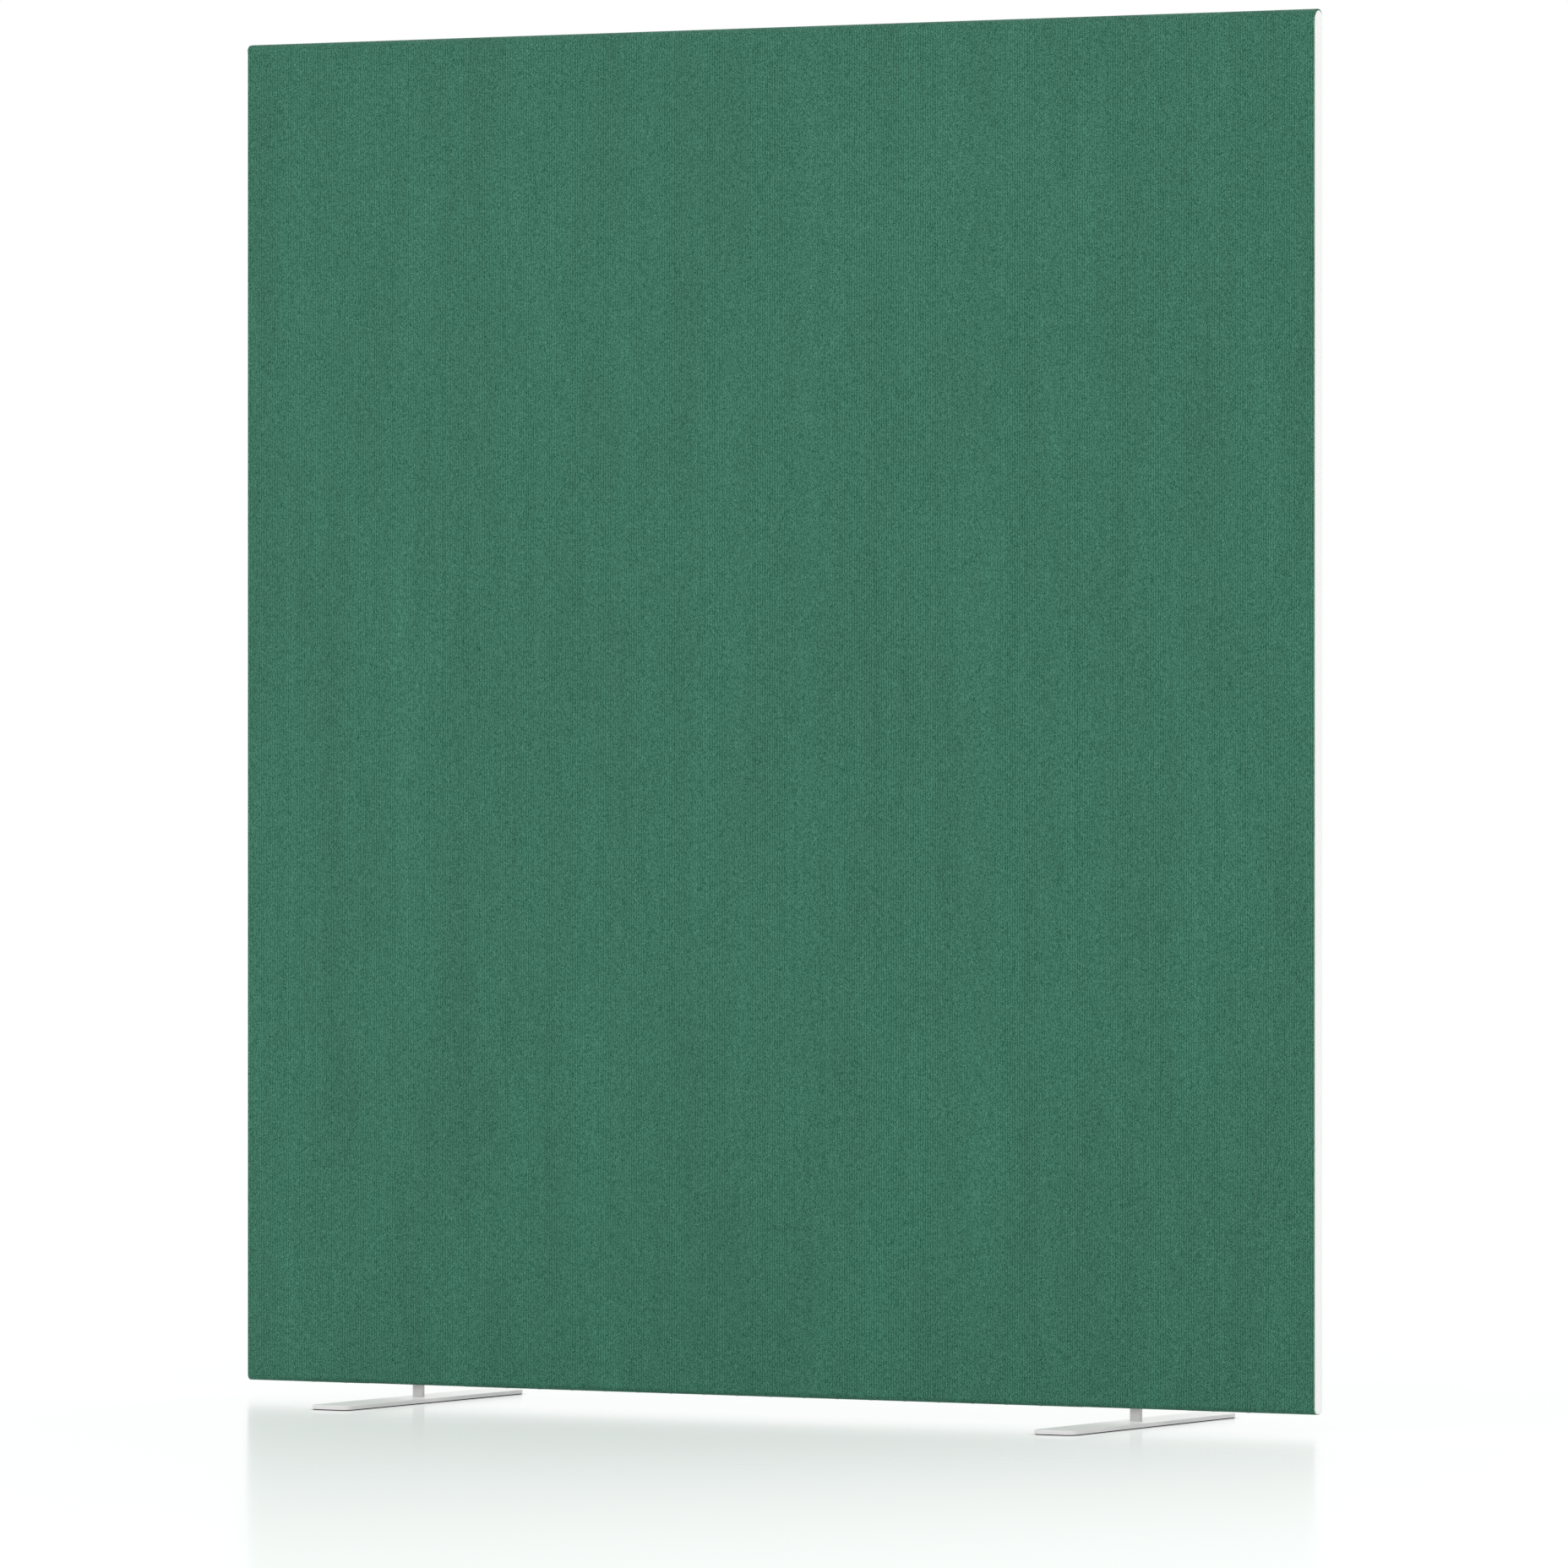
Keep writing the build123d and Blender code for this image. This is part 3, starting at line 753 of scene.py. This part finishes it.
def white_floor(stage):
    """White lacquered floor: it keeps a faint shadow, and mirrors the panel in a blur that fades
    with distance from it and towards its ends, most of all the right one."""
    glow_strength = 0.871
    painted_contact_shadow_reach = 12 * MM
    fade_length = 2.35
    fade_centre = -0.222
    fade_width = 1.87
    material, tree = new_material("white floor, lacquered")

    # What is seen of the floor is mostly a steady glow, so that the rest, which lamps give,
    # shows the object's shadow faintly on pure white. Close to anything that stands on the floor
    # the glow is dimmed by the AO node: a painted contact shadow. Rays that gather light meet a
    # plain pale floor.
    seen = mirror_rays(tree)
    clear = node(
        tree, "ShaderNodeAmbientOcclusion", {"Distance": painted_contact_shadow_reach}, samples=8,
    ).outputs["AO"]
    glow = node(
        tree, "ShaderNodeMath", {0: clear, 1: glow_strength}, operation="MULTIPLY",
    ).outputs[0]
    glow = node(tree, "ShaderNodeMath", {0: glow, 1: seen}, operation="MULTIPLY").outputs[0]
    glowing = node(
        tree, "ShaderNodeEmission", {"Color": (*linear("#fbfffd"), 1), "Strength": glow},
    ).outputs[0]
    pale = node(
        tree, "ShaderNodeMix",
        {"Factor": seen, MIX_A: (*linear("#cbcbcb"), 1), MIX_B: (*linear("#595959"), 1)},
        data_type="RGBA",
    ).outputs[MIX_RESULT]
    matt = node(tree, "ShaderNodeBsdfDiffuse", {"Color": pale}).outputs[0]
    ground = node(tree, "ShaderNodeAddShader", {0: glowing, 1: matt}).outputs[0]

    # The gloss is Fresnel's share times the stage's reflection, and times e to the power of
    # minus the sum of the distance from the panel over fade_length and the square of the
    # distance from fade_centre over fade_width, a bell curve along the panel
    place = node(tree, "ShaderNodeTexCoord").outputs["Object"]
    along = node(tree, "ShaderNodeSeparateXYZ", {"Vector": place}).outputs
    away = node(tree, "ShaderNodeMath", {0: along["Y"]}, operation="ABSOLUTE").outputs[0]
    aside = node(
        tree, "ShaderNodeMath", {0: along["X"], 1: 1 / fade_width, 2: -fade_centre / fade_width},
        operation="MULTIPLY_ADD",
    ).outputs[0]
    bell = node(tree, "ShaderNodeMath", {0: aside, 1: aside}, operation="MULTIPLY").outputs[0]
    decay = node(
        tree, "ShaderNodeMath", {0: away, 1: 1 / fade_length, 2: bell}, operation="MULTIPLY_ADD",
    ).outputs[0]
    decay = node(tree, "ShaderNodeMath", {0: decay, 1: -1.0}, operation="MULTIPLY").outputs[0]
    fade = node(tree, "ShaderNodeMath", {0: decay}, operation="EXPONENT").outputs[0]
    share = node(
        tree, "ShaderNodeMath", {0: fade, 1: stage.reflection}, operation="MULTIPLY",
    ).outputs[0]
    fresnel = node(tree, "ShaderNodeFresnel", {"IOR": 1.45}).outputs[0]
    share = node(tree, "ShaderNodeMath", {0: share, 1: fresnel}, operation="MULTIPLY").outputs[0]
    gloss = node(
        tree, "ShaderNodeBsdfAnisotropic", {"Color": (1, 1, 1, 1), "Roughness": 0.16},
        distribution="MULTI_GGX",
    ).outputs[0]
    mixed = node(tree, "ShaderNodeMixShader", {0: share, 1: ground, 2: gloss}).outputs[0]
    node(tree, "ShaderNodeOutputMaterial", {"Surface": mixed})
    return material


class SetStage(bpy.types.Operator):
    """Sets the pale floor, the soft light and the camera"""

    bl_idname = "floor_screen.set_stage"
    bl_label = "Set Stage"

    def execute(self, context):
        scene = context.scene
        stage = scene.screen_stage
        scene.view_settings.view_transform = "Standard"

        # Light from all round, of the sky's strength, which the camera sees as pure white
        world = bpy.data.worlds.new("soft white surround")
        world.use_nodes = True
        tree = world.node_tree
        tree.nodes.clear()
        strength = node(
            tree, "ShaderNodeMath", {0: mirror_rays(tree), 1: stage.sky}, operation="MAXIMUM",
        ).outputs[0]
        surround = node(tree, "ShaderNodeBackground", {"Color": (1, 1, 1, 1), "Strength": strength})
        node(tree, "ShaderNodeOutputWorld", {"Surface": surround.outputs[0]})
        scene.world = world

        # The floor lies a hair below the pads, so that the two faces don't fall together
        floor_half = 60.0
        floor_drop = 0.2 * MM
        corners = floor_half * np.array([(-1, -1, 0), (1, -1, 0), (1, 1, 0), (-1, 1, 0)])
        mesh = bpy.data.meshes.new("floor")
        mesh.from_pydata((corners - (0, 0, floor_drop)).tolist(), [], [(0, 1, 2, 3)])
        mesh.materials.append(white_floor(stage))
        floor = bpy.data.objects.new("floor", mesh)
        scene.collection.objects.link(floor)

        # Broad soft lamps, which no mirror shows: azimuth from the front towards +X, elevation,
        # strength and width, with the angles in degrees
        lamps = {
            "key_lamp": (-25, 65, 1.45, 60),
            "fill_lamp": (65, 25, 0.5, 70),
            "back_lamp": (200, 60, 1.6, 70),
        }
        for name, (azimuth, elevation, strength, width) in lamps.items():
            light = bpy.data.lights.new(name, "SUN")
            light.energy = strength
            light.angle = math.radians(width)
            lamp = bpy.data.objects.new(name, light)
            lamp.rotation_euler = (math.radians(90 - elevation), 0, math.radians(azimuth))
            lamp.visible_glossy = False
            scene.collection.objects.link(lamp)

        camera = bpy.data.objects.new("camera", bpy.data.cameras.new("camera"))
        camera.data.lens = stage.lens
        camera.data.sensor_width = 36
        camera.data.shift_y = -stage.horizon
        camera.data.clip_end = 200
        camera.location = (
            stage.aim + stage.distance * math.sin(stage.azimuth),
            -stage.distance * math.cos(stage.azimuth),
            stage.height,
        )
        camera.rotation_euler = (math.pi / 2, 0, stage.azimuth)
        scene.collection.objects.link(camera)
        scene.camera = camera
        return {"FINISHED"}


class ScreenPanel(bpy.types.Panel):
    """Sizes, colours and steps of the office floor screen"""

    bl_idname = "VIEW3D_PT_floor_screen"
    bl_label = "Office Floor Screen"
    bl_space_type = "VIEW_3D"
    bl_region_type = "UI"
    bl_category = "Screen"

    def draw(self, context):
        scene = context.scene
        for group in (scene.screen_cloth, scene.screen_finishes, scene.screen_stage):
            box = self.layout.box()
            for name in group.__annotations__:
                box.prop(group, name)
        for step in steps:
            self.layout.operator(step.bl_idname)


steps = (LineWithFelt, CoverWithCloth, FinishFrame, FinishEdging, FinishFeet, SetStage)
classes = (ScreenCloth, ScreenFinishes, ScreenStage, *steps, ScreenPanel)


def register():
    for kind in classes:
        bpy.utils.register_class(kind)
    bpy.types.Scene.screen_cloth = PointerProperty(type=ScreenCloth)
    bpy.types.Scene.screen_finishes = PointerProperty(type=ScreenFinishes)
    bpy.types.Scene.screen_stage = PointerProperty(type=ScreenStage)


def unregister():
    del bpy.types.Scene.screen_stage
    del bpy.types.Scene.screen_finishes
    del bpy.types.Scene.screen_cloth
    for kind in reversed(classes):
        bpy.utils.unregister_class(kind)


def main():
    register()
    bpy.ops.floor_screen.line_with_felt()
    bpy.ops.floor_screen.cover_with_cloth()
    bpy.ops.floor_screen.finish_frame()
    bpy.ops.floor_screen.finish_edging()
    bpy.ops.floor_screen.finish_feet()
    bpy.ops.floor_screen.set_stage()


if __name__ == "__main__":
    main()
